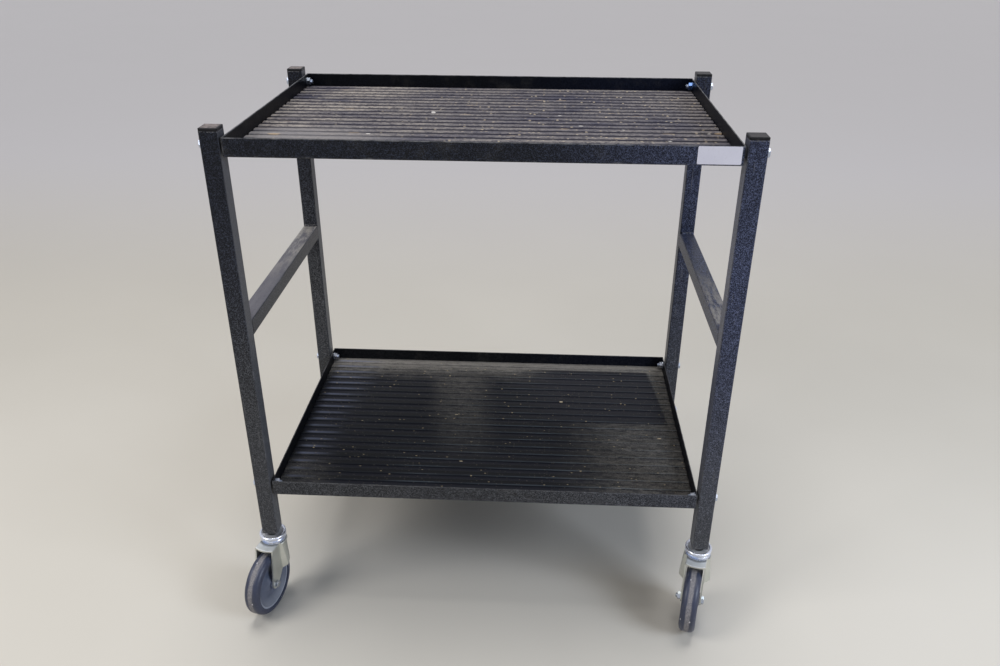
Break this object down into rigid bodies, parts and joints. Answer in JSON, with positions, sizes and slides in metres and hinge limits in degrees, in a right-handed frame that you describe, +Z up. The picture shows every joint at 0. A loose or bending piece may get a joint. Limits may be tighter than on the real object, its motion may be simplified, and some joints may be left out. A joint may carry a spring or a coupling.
{
  "type": "rolling tool table",
  "caption": "Rolling tool table: square tube frame, two rimmed trays with ribbed rubber mats, swivel casters.",
  "frame": {"origin": "on the floor, under the middle of the table", "axes": "+Z up, +X to the right along the trays' long side, -Y towards the front"},
  "size_m": [0.8978, 0.6898, 0.943],
  "materials": {
    "frame_paint": "blue-black hammered powder coat, satin",
    "cap_plastic": "black moulded plastic, dusty on top",
    "mat_rubber": "ribbed black rubber, worn and dusty",
    "zinc_fastener": "bright zinc plating",
    "zinc_caster": "pressed steel, zinc plated, satin",
    "bare_steel": "plain steel",
    "disc_plastic": "grey-blue moulded plastic",
    "tyre_rubber": "grey-blue solid rubber, worn light in the middle of the tread",
    "label_film": "plain white film"
  },
  "bodies": {
    "frame": {"leg_front_left": "frame_paint", "leg_front_right": "frame_paint", "leg_rear_left": "frame_paint", "leg_rear_right": "frame_paint", "side_rail_left": "frame_paint", "side_rail_right": "frame_paint", "rail_welds": "frame_paint", "cap_front_left": "cap_plastic", "cap_front_right": "cap_plastic", "cap_rear_left": "cap_plastic", "cap_rear_right": "cap_plastic", "foot_plugs": "cap_plastic", "tray_floor_upper": "frame_paint", "tray_rims_upper": "frame_paint", "tray_floor_lower": "frame_paint", "tray_rims_lower": "frame_paint", "mat_upper": "mat_rubber", "mat_lower": "mat_rubber", "tray_bolts": "zinc_fastener", "tray_spacers": "zinc_fastener", "tray_washers": "zinc_fastener", "tray_nuts": "zinc_fastener", "blank_label": "label_film", "stem_front_left": "bare_steel", "head_cup_front_left": "zinc_caster", "stem_front_right": "bare_steel", "head_cup_front_right": "zinc_caster", "stem_rear_left": "bare_steel", "head_cup_rear_left": "zinc_caster", "stem_rear_right": "bare_steel", "head_cup_rear_right": "zinc_caster"},
    "swivel_front_left": {"fork_front_left": "zinc_caster", "ball_ring_front_left": "bare_steel", "axle_bolt_front_left": "zinc_fastener", "axle_nut_front_left": "zinc_fastener", "axle_bush_front_left": "bare_steel"},
    "wheel_front_left": {"wheel_disc_front_left": "disc_plastic", "tyre_front_left": "tyre_rubber"},
    "swivel_front_right": {"fork_front_right": "zinc_caster", "ball_ring_front_right": "bare_steel", "axle_bolt_front_right": "zinc_fastener", "axle_nut_front_right": "zinc_fastener", "axle_bush_front_right": "bare_steel"},
    "wheel_front_right": {"wheel_disc_front_right": "disc_plastic", "tyre_front_right": "tyre_rubber"},
    "swivel_rear_left": {"fork_rear_left": "zinc_caster", "ball_ring_rear_left": "bare_steel", "axle_bolt_rear_left": "zinc_fastener", "axle_nut_rear_left": "zinc_fastener", "axle_bush_rear_left": "bare_steel"},
    "wheel_rear_left": {"wheel_disc_rear_left": "disc_plastic", "tyre_rear_left": "tyre_rubber"},
    "swivel_rear_right": {"fork_rear_right": "zinc_caster", "ball_ring_rear_right": "bare_steel", "axle_bolt_rear_right": "zinc_fastener", "axle_nut_rear_right": "zinc_fastener", "axle_bush_rear_right": "bare_steel"},
    "wheel_rear_right": {"wheel_disc_rear_right": "disc_plastic", "tyre_rear_right": "tyre_rubber"}
  },
  "joints": [
    {"name": "turn_front_left", "type": "hinge", "parent": "frame", "child": "swivel_front_left", "pos_m": [-0.41, -0.245, 0.142], "axis": [0, 0, 1], "continuous": true},
    {"name": "roll_front_left", "type": "hinge", "parent": "swivel_front_left", "child": "wheel_front_left", "pos_m": [-0.42009, -0.28267, 0.0625], "axis": [0.9659, -0.2588, 0], "continuous": true},
    {"name": "turn_front_right", "type": "hinge", "parent": "frame", "child": "swivel_front_right", "pos_m": [0.41, -0.245, 0.142], "axis": [0, 0, 1], "continuous": true},
    {"name": "roll_front_right", "type": "hinge", "parent": "swivel_front_right", "child": "wheel_front_right", "pos_m": [0.39991, -0.28267, 0.0625], "axis": [0.9659, -0.2588, 0], "continuous": true},
    {"name": "turn_rear_left", "type": "hinge", "parent": "frame", "child": "swivel_rear_left", "pos_m": [-0.41, 0.245, 0.142], "axis": [0, 0, 1], "continuous": true},
    {"name": "roll_rear_left", "type": "hinge", "parent": "swivel_rear_left", "child": "wheel_rear_left", "pos_m": [-0.39991, 0.28267, 0.0625], "axis": [-0.9659, 0.2588, 0], "continuous": true},
    {"name": "turn_rear_right", "type": "hinge", "parent": "frame", "child": "swivel_rear_right", "pos_m": [0.41, 0.245, 0.142], "axis": [0, 0, 1], "continuous": true},
    {"name": "roll_rear_right", "type": "hinge", "parent": "swivel_rear_right", "child": "wheel_rear_right", "pos_m": [0.42009, 0.28267, 0.0625], "axis": [-0.9659, 0.2588, 0], "continuous": true}
  ]
}
